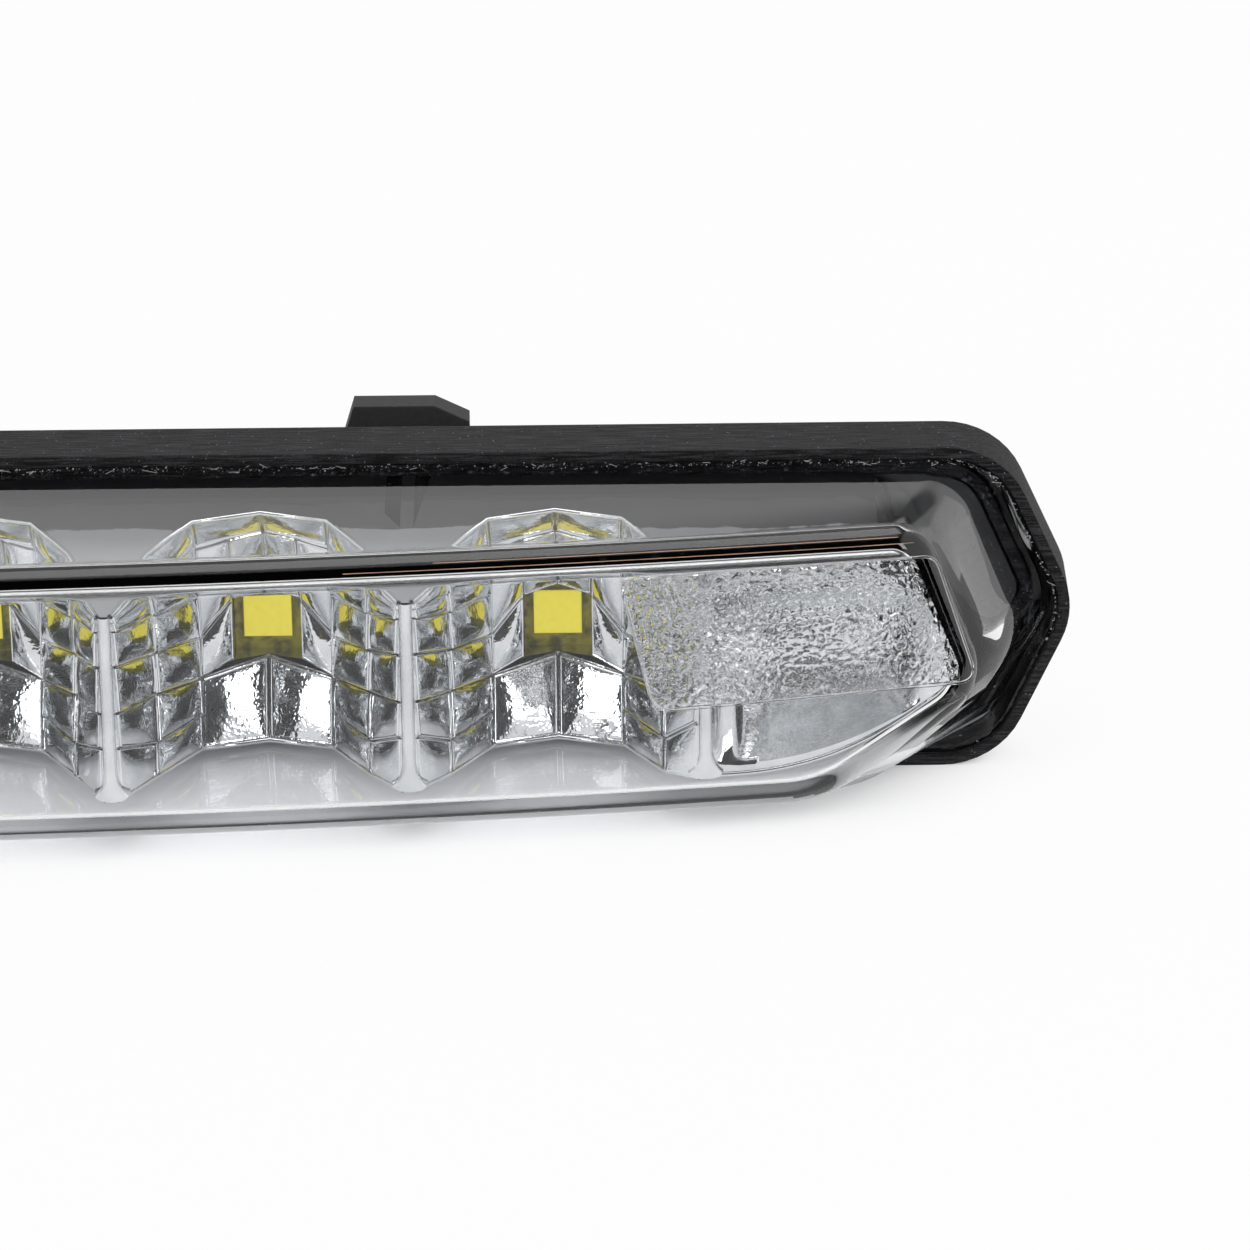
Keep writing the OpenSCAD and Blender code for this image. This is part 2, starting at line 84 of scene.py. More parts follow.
def hexColour(code):
    channels = [int(code[i:i + 2], 16) / 255 for i in (1, 3, 5)]
    linear = [c / 12.92 if c <= 0.04045 else ((c + 0.055) / 1.055) ** 2.4 for c in channels]
    return (*linear, 1.0)


def grey(value):
    return (value, value, value, 1)


def addNode(tree, kind, settings=None, inputs=None, stops=None):
    # an input takes a value, a socket, or a node for its first output; stops belong to a colour ramp
    node = tree.nodes.new("ShaderNode" + kind)
    for name, value in (settings or {}).items():
        setattr(node, name, value)
    for name, value in (inputs or {}).items():
        if isinstance(value, bpy.types.Node):
            value = value.outputs[0]
        if isinstance(value, bpy.types.NodeSocket):
            tree.links.new(value, node.inputs[name])
        else:
            node.inputs[name].default_value = value
    if stops:
        elements = node.color_ramp.elements
        while len(elements) < len(stops):
            elements.new(0.5)
        for element, (place, colour) in zip(elements, stops):
            element.position = place
            element.color = colour if len(colour) == 4 else (*colour, 1)
    return node


def startMaterial(name):
    material = bpy.data.materials.new(name)
    material.use_nodes = True
    material.node_tree.nodes.clear()
    return material, material.node_tree


def makePiece(name, vertices, faces, material, crease=40):
    mesh = bpy.data.meshes.new(name)
    mesh.from_pydata([tuple(v) for v in vertices], [], faces)
    piece = bpy.data.objects.new(name, mesh)
    bpy.context.scene.collection.objects.link(piece)
    mesh.materials.append(material)
    tidy = bmesh.new()
    tidy.from_mesh(mesh)
    bmesh.ops.remove_doubles(tidy, verts=tidy.verts, dist=1e-7)
    bmesh.ops.dissolve_degenerate(tidy, edges=tidy.edges, dist=1e-8)
    bmesh.ops.recalc_face_normals(tidy, faces=tidy.faces)
    tidy.to_mesh(mesh)
    tidy.free()
    if crease:
        mesh.polygons.foreach_set("use_smooth", [True] * len(mesh.polygons))
        mesh.set_sharp_from_angle(angle=math.radians(crease))
    return piece


def addQuad(vertices, faces, *corners):
    k = len(vertices)
    vertices += corners
    faces.append((k, k + 1, k + 2, k + 3))


def addGrid(faces, start, rows, columns):
    for i in range(rows):
        for j in range(columns):
            k = start + i * (columns + 1) + j
            faces.append((k, k + 1, k + columns + 2, k + columns + 1))


def rolledEdge(vertices, faces, points, radius, sides=8):
    # a round bead along a line of points
    start = len(vertices)
    for i, point in enumerate(points):
        run = points[min(i + 1, len(points) - 1)] - points[max(i - 1, 0)]
        across = run.cross(Vector((0, 0, 1)))
        if across.length < 1e-6:
            across = run.cross(Vector((1, 0, 0)))
        across.normalize()
        up = across.cross(run).normalized()
        for j in range(sides):
            angle = 2 * math.pi * j / sides
            vertices.append(point + (across * math.cos(angle) + up * math.sin(angle)) * radius)
    for i in range(len(points) - 1):
        for j in range(sides):
            k = (j + 1) % sides
            faces.append((start + i * sides + j, start + i * sides + k,
                          start + (i + 1) * sides + k, start + (i + 1) * sides + j))


def useMaterial(node, material):
    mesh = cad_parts[node]
    for slot in mesh.material_slots:
        slot.material = material


def mix(a, b, share):
    return a + (b - a) * share


def sweep(x, front=None):
    radius = lamp["sweepRadius"]
    return (lamp["lensFront"] if front is None else front) - radius + math.sqrt(radius * radius - x * x)


# Camera: in front of the lamp's right end and above it
cameraRig = {
    "target": (74.7, 0.0, -2.0),
    "elevation": 25.0,
    "distance": 436.0,
    "frameSize": 1250,
    "focalPixels": 6300.0,
    "roll": 0.59,
}


def placeCamera():
    data = bpy.data.cameras.new("camera")
    data.sensor_fit = "HORIZONTAL"
    data.angle = 2 * math.atan(cameraRig["frameSize"] / 2 / cameraRig["focalPixels"])
    data.clip_start = 0.01
    camera = bpy.data.objects.new("camera", data)
    bpy.context.scene.collection.objects.link(camera)
    elevation = math.radians(cameraRig["elevation"])
    target = toWorld(*cameraRig["target"])
    back = Vector((0, -math.cos(elevation), math.sin(elevation)))
    camera.location = target + back * cameraRig["distance"] * mm
    turned = Euler((math.pi / 2 - elevation, 0, 0)).to_matrix()
    roll = Euler((0, 0, -math.radians(cameraRig["roll"]))).to_matrix()
    camera.rotation_euler = (turned @ roll).to_euler()
    bpy.context.scene.camera = camera
    bpy.context.scene.view_settings.view_transform = "Standard"
    print("camera placed")


placeCamera()


# Studio: a white table that keeps the shadow, deepened near the lamp by a painted shadow, a white sweep behind and
# a dark room in front of the lamp
studio = {
    "tableSize": 3.0,
    "tableTone": "#F4F4F5",
    "tableGap": 0.00002,  # below the feet
    "tableGlow": 0.9,  # share of plain white in the table
    "paintedShadowReach": 15.0,  # mm; within this reach of the lamp, ambient occlusion dims the paper's glow as a painted shadow
    "paintedShadowEnds": (0.06, 0.3),  # share of open sky where the painted shadow is full, and where it ends
    "softLight": 0.62,  # even light from the tent
    # directions in which the mirrored room turns bright, as sines
    "behindFrom": (0.0, 0.12),
    "sweepTop": (0.53, 0.61),  # upwards, the sweep fades out between 32 and 38 degrees
    "ceilingFrom": (0.8, 0.9),
    "sidesFrom": (0.5, 0.62),
    "wallTone": 0.1,
    "roomTone": 0.025,  # what the front of the room mirrors as
    "cardEdge": -0.045,  # a black card lies on the table from here towards the camera
    "cardLift": 0.0004,
    "cardTone": "#0A0A0B",
    "aim": (0.06, -0.03, 0.01),
    "softBoxes": {
        "top soft box": {"at": (0.1, -0.1, 0.95), "size": (1.0, 0.5), "power": 3.2},
        "front left soft box": {"at": (-0.5, -0.75, 0.42), "size": (0.24, 0.26), "power": 0.9},
        "front right soft box": {"at": (0.72, -0.75, 0.46), "size": (0.16, 0.3), "power": 0.8},
    },
}


def anyOf(tree, *sockets):
    total = sockets[0]
    for socket in sockets[1:]:
        total = addNode(tree, "Math", {"operation": "MAXIMUM"}, {0: total, 1: socket})
    return total


def layTable():
    # matt paper: even white, and the only place where the lamp's soft shadow shows, partly real and partly painted
    # by dimming the glow with ambient occlusion
    table, tree = startMaterial("seamless white paper")
    path = addNode(tree, "LightPath")
    seen = anyOf(tree, *(path.outputs[f"Is {kind} Ray"] for kind in ("Camera", "Transmission", "Glossy")))
    # painted shadow: ambient occlusion near the lamp takes away part of the white glow
    near = addNode(tree, "AmbientOcclusion", {"samples": 4}, {"Distance": studio["paintedShadowReach"] * mm})
    glowOutsidePaintedShadow = addNode(tree, "MapRange", {}, {
        "Value": near.outputs["AO"], "From Min": studio["paintedShadowEnds"][0], "From Max": studio["paintedShadowEnds"][1],
        "To Max": studio["tableGlow"]})
    share = addNode(tree, "Math", {"operation": "MULTIPLY"}, {0: seen, 1: glowOutsidePaintedShadow})
    paper = addNode(tree, "BsdfDiffuse", {}, {"Color": hexColour(studio["tableTone"])})
    glow = addNode(tree, "Emission", {}, {"Color": grey(1), "Strength": 1.0})
    both = addNode(tree, "MixShader", {}, {0: share, 1: paper, 2: glow})
    addNode(tree, "OutputMaterial", {}, {"Surface": both})
    half = studio["tableSize"] / 2
    ground = min(cadBounds[0][2], 0.0) - studio["tableGap"]
    corners = [(-half, -half, ground), (half, -half, ground), (half, half, ground), (-half, half, ground)]
    floor = makePiece("table", corners, [(0, 1, 2, 3)], table, crease=None)

    # the card takes the glare off the clear front; lamp light, shadows and the camera pass it by
    black, tree = startMaterial("black flag card")
    felt = addNode(tree, "BsdfDiffuse", {}, {"Color": hexColour(studio["cardTone"])})
    addNode(tree, "OutputMaterial", {}, {"Surface": felt})
    near, top = studio["cardEdge"], ground + studio["cardLift"]
    corners = [(-half, near, top), (-half, -half, top), (half, -half, top), (half, near, top)]
    card = makePiece("flag_card", corners, [(0, 1, 2, 3)], black, crease=None)
    card.visible_camera = card.visible_diffuse = card.visible_shadow = card.visible_transmission = False


def lightRoom():
    world = bpy.data.worlds.new("studio")
    bpy.context.scene.world = world
    world.use_nodes = True
    tree = world.node_tree
    tree.nodes.clear()
    path = addNode(tree, "LightPath")
    place = addNode(tree, "TexCoord")
    split = addNode(tree, "SeparateXYZ", {}, {0: place.outputs["Generated"]})
    # mirrors and glass see a white sweep behind, white walls at the sides, a white ceiling and a dark front
    smooth = {"interpolation_type": "SMOOTHSTEP"}
    behind = addNode(tree, "MapRange", smooth, {
        "Value": split.outputs["Y"], "From Min": studio["behindFrom"][0], "From Max": studio["behindFrom"][1]})
    lowDown = addNode(tree, "MapRange", smooth, {
        "Value": split.outputs["Z"], "From Min": studio["sweepTop"][0], "From Max": studio["sweepTop"][1],
        "To Min": 1.0, "To Max": studio["wallTone"]})
    lit = addNode(tree, "Math", {"operation": "MULTIPLY"}, {0: behind, 1: lowDown})
    over = addNode(tree, "MapRange", smooth, {
        "Value": split.outputs["Z"], "From Min": studio["ceilingFrom"][0], "From Max": studio["ceilingFrom"][1]})
    across = addNode(tree, "Math", {"operation": "ABSOLUTE"}, {0: split.outputs["X"]})
    side = addNode(tree, "MapRange", smooth, {
        "Value": across, "From Min": studio["sidesFrom"][0], "From Max": studio["sidesFrom"][1]})
    tone = addNode(tree, "ValToRGB", {}, {"Fac": anyOf(tree, lit, over, side)}, [
        (0, grey(studio["roomTone"])), (1, grey(1.0))])
    room = addNode(tree, "Background", {}, {"Color": tone, "Strength": 1.0})
    tent = addNode(tree, "Background", {}, {"Color": grey(1), "Strength": studio["softLight"]})
    white = addNode(tree, "Background", {}, {"Color": grey(1), "Strength": 1.0})
    mirrored = anyOf(tree, path.outputs["Is Glossy Ray"], path.outputs["Is Transmission Ray"])
    indoors = addNode(tree, "MixShader", {}, {0: mirrored, 1: tent, 2: room})
    both = addNode(tree, "MixShader", {}, {0: path.outputs["Is Camera Ray"], 1: indoors, 2: white})
    addNode(tree, "OutputWorld", {}, {"Surface": both})

    for name, box in studio["softBoxes"].items():
        data = bpy.data.lights.new(name, "AREA")
        data.shape = "RECTANGLE"
        data.size, data.size_y = box["size"]
        data.energy = box["power"]
        softBox = bpy.data.objects.new(name, data)
        bpy.context.scene.collection.objects.link(softBox)
        softBox.location = box["at"]
        aim = Vector(studio["aim"]) - Vector(box["at"])
        softBox.rotation_euler = aim.to_track_quat("-Z", "Y").to_euler()


layTable()
lightRoom()
print("studio lit")


# Housing: die-cast aluminium under a matt black coating, with fine drag marks along its length
housingFinish = {
    "coat": "#050506",
    "coatLight": "#39393C",
    "toneRange": (0.45, 0.6),
    "dust": "#8E8F93",
    "dustSpacing": 0.5,
    "dustSize": 0.08,  # of the spacing
    "roughness": 0.7,
    "markSpacing": 0.15,  # mm between drag marks
    "markStretch": 0.05,  # scale along x, so a mark is twenty times as long as it is wide
    "grit": 0.16,  # mm, coarser than the real coating so that it shows
    "gritShare": 0.25,  # of the pattern, the rest are marks
    "depth": 0.2,  # mm of the marks and grit
    "edgeRound": 0.35,
}


def castMaterial(name, finish):
    # the coat looks nearly black and soft, the drag marks catch a grey streak here and there
    material, tree = startMaterial(name)
    place = addNode(tree, "TexCoord").outputs["Object"]
    along = addNode(tree, "Mapping", {}, {"Vector": place, "Scale": (finish["markStretch"], 1, 1)})
    marks = addNode(tree, "TexNoise", {}, {
        "Vector": along, "Scale": 1 / (finish["markSpacing"] * mm), "Detail": 3.0, "Roughness": 0.6})
    grit = addNode(tree, "TexNoise", {}, {"Vector": place, "Scale": 1 / (finish["grit"] * mm), "Detail": 2.0})
    markPart = addNode(tree, "Math", {"operation": "MULTIPLY"}, {0: marks, 1: 1 - finish["gritShare"]})
    total = addNode(tree, "Math", {"operation": "MULTIPLY_ADD"}, {0: grit, 1: finish["gritShare"], 2: markPart})
    dark, light = finish["toneRange"]
    colour = addNode(tree, "ValToRGB", {}, {"Fac": total}, [
        (dark, hexColour(finish["coat"])), (light, hexColour(finish["coatLight"]))])
    # a few grains of dust
    grains = addNode(tree, "TexVoronoi", {"feature": "F1"}, {
        "Vector": place, "Scale": 1 / (finish["dustSpacing"] * mm), "Randomness": 1.0})
    dust = addNode(tree, "Math", {"operation": "LESS_THAN"}, {0: grains, 1: finish["dustSize"]})
    colour = addNode(tree, "Mix", {"data_type": "RGBA"}, {
        0: dust, 6: colour, 7: hexColour(finish["dust"])}).outputs[2]
    rough = addNode(tree, "MapRange", {}, {
        "Value": total, "From Min": 0.3, "From Max": 0.7,
        "To Min": finish["roughness"] - 0.1, "To Max": finish["roughness"] + 0.1})
    edge = addNode(tree, "Bevel", {"samples": 4}, {"Radius": finish["edgeRound"] * mm})
    bump = addNode(tree, "Bump", {}, {"Height": total, "Distance": finish["depth"] * mm, "Normal": edge})
    shader = addNode(tree, "BsdfPrincipled", {}, {
        "Base Color": colour, "Roughness": rough, "Normal": bump, "IOR": 1.5, "Specular IOR Level": 0.3})
    addNode(tree, "OutputMaterial", {}, {"Surface": shader})
    return material


useMaterial("housing", castMaterial("die-cast aluminium, matt black powder coat", housingFinish))
print("housing coated")


# Clear lens: injection-moulded polycarbonate, polished tool, one even wall
lens = {
    "wall": 1.6,
    "frontHeight": 20.3,  # between the long front edges
    "edgeRound": 1.9,
    "innerRound": 0.75,  # of the wall comes off the rounding inside
    "flangeRadius": 4.9,
    "edgeDepth": -1.1,
    "top": (4.2, 3.4),  # step in from the housing's corner and corner radius
    "tip": (5.2, 4.5),
    "low": (11.3, 9.5),
    "tipLow": 0.9,
    "sideShares": (0, 0.14, 0.32, 0.5, 0.75),
    "straightSteps": 44,
    "cornerSteps": 14,
    "roundSteps": 10,
    "faceRows": 12,
    "tint": "#FEFEFF",
    "topExtra": 0.4,  # the upper wall is thicker towards the front
    "innerHalf": 8.5,
    "mist": 0.65,  # share of the lower face that scatters
    "mistBelow": -9.2,
    "mistRoughness": 0.1,
    "frost": "#FAFCFD",
    "ior": 1.585,
}


def clearMaterial(name, roughness=0.0, bumpHeight=None, mist=0.0):
    # as clear as glass, with bright edges where the wall turns
    material, tree = startMaterial(name)
    tint = hexColour(lens["tint"])
    inputs = {"Base Color": tint, "Roughness": roughness, "IOR": lens["ior"], "Transmission Weight": 1.0}
    if bumpHeight:
        inputs["Normal"] = bumpHeight(tree)
    surface = addNode(tree, "BsdfPrincipled", {}, inputs)
    # lamps shine through the clear wall
    clear = addNode(tree, "BsdfTransparent", {}, {"Color": tint})
    path = addNode(tree, "LightPath")
    if mist:
        # rubbed by the bench, so part of it scatters like frosted plastic
        frost = addNode(tree, "BsdfTranslucent", {}, {"Color": hexColour(lens["frost"])})
        surface = addNode(tree, "MixShader", {}, {0: mist, 1: surface, 2: frost})
    both = addNode(tree, "MixShader", {}, {0: path.outputs["Is Shadow Ray"], 1: surface, 2: clear})
    addNode(tree, "OutputMaterial", {}, {"Surface": both})
    return material


def tangentAngle(a, b):
    run, rise = b[0] - a[0], b[1] - a[1]
    turn = math.degrees(math.atan2(rise, run) + math.acos((a[2] - b[2]) / math.hypot(run, rise)))
    return turn - 360 if turn > 180 else turn


def cornersAt(share, inward):
    # the three rounded corners of the right end, between the flange (0) and the front (1)
    flange = [
        (lamp["cornerX"], lamp["coreHalf"], lens["flangeRadius"] - inward),
        (lamp["pointX"], 0.0, lens["flangeRadius"] - inward),
        (lamp["cornerX"], -lamp["coreHalf"], lens["flangeRadius"] - inward)]
    half = lens["frontHeight"] / 2
    front = [
        (lamp["cornerX"] - lens["top"][0], half - lens["top"][1], lens["top"][1] - inward),
        (lamp["pointX"] - lens["tip"][0], -lens["tipLow"], lens["tip"][1] - inward),
        (lamp["cornerX"] - lens["low"][0], lens["low"][1] - half, lens["low"][1] - inward)]
    return [tuple(mix(a[k], b[k], share) for k in range(3)) for a, b in zip(flange, front)]


def halfRing(corners):
    steps, turns = lens["straightSteps"], lens["cornerSteps"]
    first = tangentAngle(corners[0], corners[1])
    second = tangentAngle(corners[1], corners[2])
    top = corners[0][1] + corners[0][2]
    low = corners[2][1] - corners[2][2]
    points = [(corners[0][0] * k / steps, top) for k in range(steps)]
    for corner, start, end in zip(corners, (90, first, second), (first, second, -90)):
        for k in range(turns + 1):
            angle = math.radians(mix(start, end, k / turns))
            points.append((corner[0] + corner[2] * math.cos(angle), corner[1] + corner[2] * math.sin(angle)))
    points += [(corners[2][0] * k / steps, low) for k in range(steps - 1, -1, -1)]
    return points


def lensSkin(wall):
    radius = lens["edgeRound"] - wall * lens["innerRound"]
    stations = [(share, 0, 0) for share in lens["sideShares"]]
    for k in range(lens["roundSteps"] + 1):
        angle = math.radians(90 * k / lens["roundSteps"])
        stations.append((1, radius * (1 - math.cos(angle)), radius * (1 - math.sin(angle))))
    rings = []
    for share, inward, back in stations:
        half = halfRing(cornersAt(share, inward + wall))
        ring = half + [(-x, z) for x, z in reversed(half[1:-1])]
        sink = lens["topExtra"] * share if wall else 0
        rings.append([(x, mix(lens["edgeDepth"], sweep(x) - wall - back, share),
                       z - sink * max(z / lens["innerHalf"], 0) ** 3) for x, z in ring])
    return rings


def lensMesh():
    vertices, faces = [], []
    starts = []
    rows = lens["faceRows"]
    for wall in (0.0, lens["wall"]):
        rings = lensSkin(wall)
        count = len(rings[0])
        half = count // 2
        start = len(vertices)
        starts.append(start)
        for ring in rings:
            vertices += [toWorld(*p) for p in ring]
        for j in range(len(rings) - 1):
            for i in range(count):
                a, b = start + j * count + i, start + j * count + (i + 1) % count
                faces.append((a, b, b + count, a + count))
        last = start + (len(rings) - 1) * count
        # the swept front: rows between each top point and the low point under it
        order = [(count - i) % count for i in range(half // 2, 0, -1)]
        order += list(range(0, half // 2 + 1))
        columns = []
        for i in order:
            low = half - i if i <= half else half + (count - i)
            column = [last + i]
            a, b = rings[-1][i], rings[-1][low % count]
            for k in range(1, rows):
                x, z = mix(a[0], b[0], k / rows), mix(a[2], b[2], k / rows)
                vertices.append(toWorld(x, sweep(x) - wall, z))
                column.append(len(vertices) - 1)
            column.append(last + low % count)
            columns.append(column)
        for left, right in zip(columns, columns[1:]):
            for k in range(rows):
                face = (left[k], right[k], right[k + 1], left[k + 1])
                if len(set(face)) > 2:
                    faces.append(tuple(dict.fromkeys(face)))
    for i in range(count):
        j = (i + 1) % count
        faces.append((starts[0] + i, starts[1] + i, starts[1] + j, starts[0] + j))
    return vertices, faces


clearPlastic = clearMaterial("clear polycarbonate, polished mould")
vertices, faces = lensMesh()
lensPiece = makePiece("clear_lens", vertices, faces, clearPlastic)
lensPiece.data.materials.append(clearMaterial(
    "clear polycarbonate, lower face misted by rubbing", roughness=lens["mistRoughness"], mist=lens["mist"]))
for face in lensPiece.data.polygons:
    # the skin that faces the bench, and the lower half of the rounded edge
    if face.normal.z < -0.3 and face.center.z < midHeight + lens["mistBelow"] * mm:
        face.material_index = 1
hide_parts("lens_cover")
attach(lensPiece, "root")
print("lens moulded")


# Reflector: ABS with a vacuum-metallised coat, domed facets with a fine bead inside each edge
reflector = {
    "ridgeGap": 0.5,
    "backHalf": 8.5,
    "draft": 0.115,
    "ridgeWidth": 0.9,
    "ridgeOpen": 80,  # degrees of arc to each side of a ridge's front
    "ridgeSink": 0.17,
    "ridgeSkirt": 0.2,
    "footFlare": 0.75,  # the ridges widen at the foot, over footRise
    "footRise": 2.2,
    "footSlope": 2.3,
    "footLift": 0.5,  # the flare's outer corners are rounded up
    "holeHalf": 2.35,
    "holeDown": 2.95,
    "holeUp": 2.1,
    "innerHalf": 4.6,
    "outerHalf": 7.4,
    "bowlRim": 4.4,
    "back": -0.5,
    "dome": 0.13,  # how far a wide facet swells
    "sideDome": 0.34,
    "groove": 0.07,
    "tilt": 0.16,  # lower edge of a side facet ahead of its upper edge
    "lowTilt": 0.1,  # the same in the lowest row
    "facetBead": 0.095,
    "beadInset": 0.045,  # of the facet's width and height
    "bead": 0.2,  # radius of the rolled edge along the bowls
    "metal": "#E6E8E9",
    "metalDark": "#D5D8DA",
    "roughness": 0.025,
    "wave": 2.8,  # mm between the moulding's slight waves
    "peel": 0.38,  # mm between the bumps of the orange peel
    "waveDepth": 0.1,
    "paintedShadeTone": "#17171A",  # painted shade: near black on the back of the top wall, for the housing rim's shadow and reflection
    "satin": 0.36,  # roughness of the coat on the top wall
    "paintedShadeEdges": (3.2, 6.6),  # mm forward: painted shade up to the first, painted shade with a little satin coat up to the second
    "paintedShadeSpan": 10,  # mm over which the painted shade's edge is drawn
    "paintedShadeFray": 2.6,  # mm between its ragged tongues
}
facetRows = {
    "axis": [-1, -0.68, -reflector["holeDown"] / reflector["backHalf"], 0.31, 0.45, 0.68, 1],
    "middle": [-1, -0.68, -reflector["holeDown"] / reflector["backHalf"],
               reflector["holeUp"] / reflector["backHalf"], 0.45, 0.68, 1],
    "inner": [-1, -0.74, -0.45, -0.1, 0.34, 0.66, 1],
    "outer": [-1, -0.75, -0.33, 0.08, 0.5, 0.74, 1],
    "ridge": [-1, -0.42, -0.05, 0.46, 0.84, 0.93, 1],
}
facetDepths = {  # in the middle of a column, and how much deeper its lower and upper ends are
    "axis": (0, 3, reflector["bowlRim"]),
    "middle": (1, 3, reflector["bowlRim"]),
    "inner": (2, 2.7, reflector["bowlRim"] * 0.82),
    "outer": (7.2, 3, reflector["bowlRim"] * 0.55),
}
ridgeFront = lamp["lensFront"] - lens["wall"] - reflector["ridgeGap"]
lastRidge = lamp["ledCount"] / 2 * lamp["ledPitch"]
columnPlaces = {
    "axis": 0,
    "middle": reflector["holeHalf"],
    "inner": reflector["innerHalf"],
    "outer": reflector["outerHalf"],
    "ridge": lamp["ledPitch"] / 2 - reflector["ridgeWidth"] / 2,
}
facetSteps = [0, 0.03, 0.07, 0.12, 0.25, 0.42, 0.58, 0.75, 0.88, 0.93, 0.97, 1]
ridgeRows = [0, 0.01, 0.025, 0.045, 0.07, 0.1, 0.14, 0.2, 0.3, 0.4, 0.5, 0.6, 0.7, 0.8, 0.9, 1]
trough = {
    "start": 0.45,
    "length": 15.1,
    "bezel": 1.3,
    "floor": 4.5,
    "steps": 60,
    "rimGap": 0.3,  # behind the fronts of the ridges
    "profile": [(0.45, 1), (1.1, 0.7), (2.1, 0.62), (2.5, 0.28), (4.6, 0.05), (8, 0), (12.4, 0.3)],
    "lowTaper": (1.5, 0.67, 2.15),  # where it starts, its share of the half height, and its power
    "highTaper": (9, 0.755, 3),
    "sideWall": (0.9, 2.3),  # share of the half height where the wall is full, and its power
}


def ridgeDepth(x):
    return sweep(x, ridgeFront)


def halfHeight(depth):
    return reflector["backHalf"] - reflector["draft"] * max(depth, 0)


def columnDepth(kind, share, x):
    if kind == "ridge":
        return ridgeDepth(x)
    middle, low, high = facetDepths[kind]
    lowest = facetRows["middle"][2]
    if kind in ("axis", "middle") and share < lowest:
        return middle + low * mix(lowest * lowest, 1, (lowest - share) / (lowest + 1))
    return middle + (low if share < 0 else high) * share * share


def cellPoint(centre, side, kind, row):
    x = centre + side * columnPlaces[kind]
    share = facetRows[kind][row]
    edge = columnDepth(kind, math.copysign(1, share), x)
    return Vector((x, columnDepth(kind, share, x), share * halfHeight(edge)))


def addWall(vertices, faces, a, b, farA, farB):
    # from a front edge back to the board, where it ends at the heights farA and farB
    back = reflector["back"]
    addQuad(vertices, faces, a, b, Vector((b.x, back, farB)), Vector((a.x, back, farA)))


def swollenFacet(vertices, faces, corners, dome, tilt):
    # corners: lower near, lower far, upper far, upper near; the sheet swells between soft grooves
    a, b, c, d = corners
    groove = reflector["groove"]
    normal = (c - a).cross(d - b)
    normal.normalize()
    if normal.y < 0:
        normal.negate()
    start = len(vertices)
    for s in facetSteps:
        for t in facetSteps:
            flat = (a * (1 - s) + b * s) * (1 - t) + (d * (1 - s) + c * s) * t
            bow = (1 - (2 * s - 1) ** 2) * (1 - (2 * t - 1) ** 2) * dome
            rim = (1 - abs(2 * s - 1) ** 18) * (1 - abs(2 * t - 1) ** 18)
            vertices.append(flat + normal * (bow + rim * (groove + tilt * (1 - t))))
    addGrid(faces, start, len(facetSteps) - 1, len(facetSteps) - 1)
    # the mould's cut lines leave a fine bead just inside each edge
    inset = reflector["beadInset"]
    outline = []
    for s, t in ((inset, inset), (1 - inset, inset), (1 - inset, 1 - inset), (inset, 1 - inset), (inset, inset)):
        flat = (a * (1 - s) + b * s) * (1 - t) + (d * (1 - s) + c * s) * t
        outline.append(flat + normal * (groove + tilt * (1 - t)))
    for near, far in zip(outline, outline[1:]):
        rolledEdge(vertices, faces, [near, far], reflector["facetBead"], 6)


def buildCells(vertices, faces):
    # near column, far column, lower row, upper row, tilt
    patches = [("axis", "inner", 0, 2, 0), ("axis", "inner", 5, 6, 0), ("axis", "middle", 3, 5, 0),
               ("middle", "inner", 2, 3, 0), ("middle", "inner", 3, 5, 0)]
    for row in range(6):
        tilt = reflector["tilt" if row else "lowTilt"]
        patches += [("inner", "outer", row, row + 1, tilt), ("outer", "ridge", row, row + 1, tilt)]
    holeEdge = [("axis", 2), ("middle", 2), ("middle", 3), ("axis", 3)]
    across = [(-1, "ridge"), (-1, "outer"), (-1, "inner"), (1, "axis"), (1, "inner"), (1, "outer"), (1, "ridge")]
    for number in range(lamp["ledCount"]):
        centre = (number - (lamp["ledCount"] - 1) / 2) * lamp["ledPitch"]
        for side in (-1, 1):
            for near, far, low, high, tilt in patches:
                corners = [cellPoint(centre, side, kind, row) for kind, row in (
                    (near, low), (far, low), (far, high), (near, high))]
                dome = reflector["dome" if near == "axis" else "sideDome"]
                swollenFacet(vertices, faces, corners, dome, tilt)
            # walls of the opening round the diode
            points = [cellPoint(centre, side, kind, row) for kind, row in holeEdge]
            for a, b in zip(points, points[1:]):
                addWall(vertices, faces, a, b, a.z, b.z)
        for row in (0, 6):
            edge = [cellPoint(centre, side, kind, row) for side, kind in across]
            rolledEdge(vertices, faces, edge, reflector["bead"])
            far = math.copysign(reflector["backHalf"], edge[0].z)
            for a, b in zip(edge, edge[1:]):
                addWall(vertices, faces, a, b, far, far)


